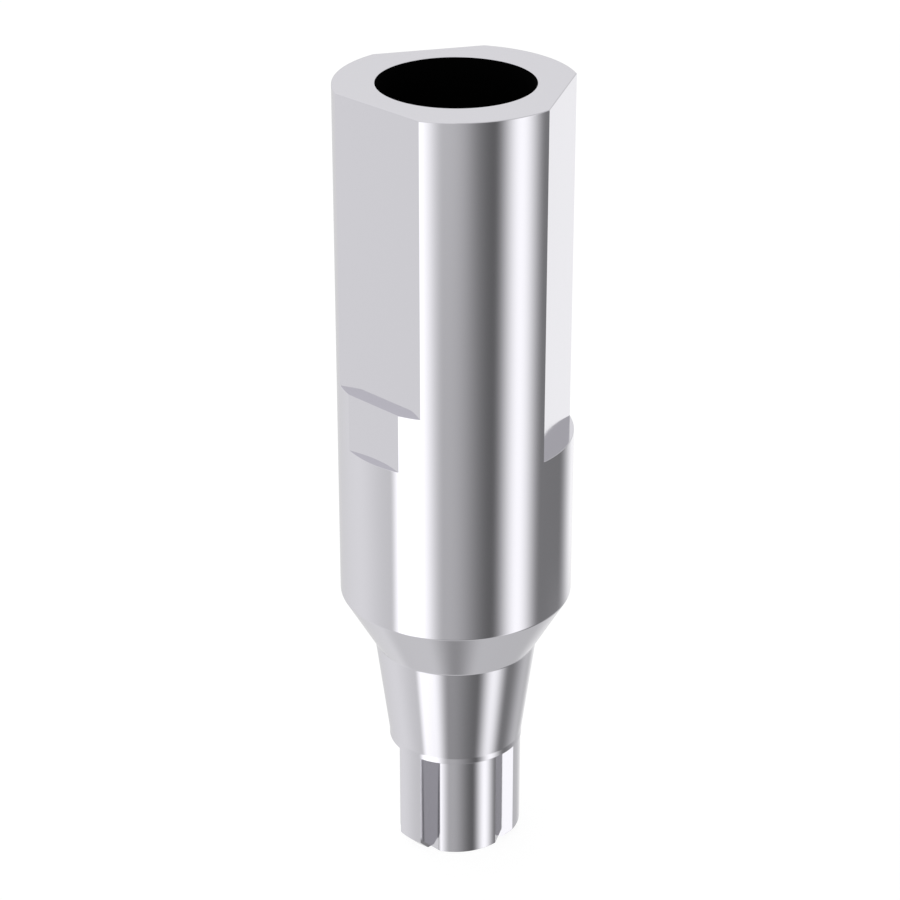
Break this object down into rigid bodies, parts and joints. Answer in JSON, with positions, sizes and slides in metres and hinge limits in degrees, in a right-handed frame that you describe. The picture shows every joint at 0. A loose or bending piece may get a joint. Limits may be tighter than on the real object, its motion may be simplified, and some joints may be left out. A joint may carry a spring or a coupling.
{
  "type": "dental scan body",
  "caption": "Upright turned metal scan body with milled flats, an orientation step, a screw channel and a cammed conical implant connection.",
  "frame": {"origin": "centre of the end face that goes into the implant", "axes": "+Z along the axis, away from the implant; the orientation flat faces -Y"},
  "size_m": [0.0044, 0.0044, 0.0158],
  "materials": {
    "titanium": "smooth turned and milled titanium, close to mirror bright, uncoated"
  },
  "bodies": {
    "root": {"scan_body": "titanium"}
  },
  "joints": []
}
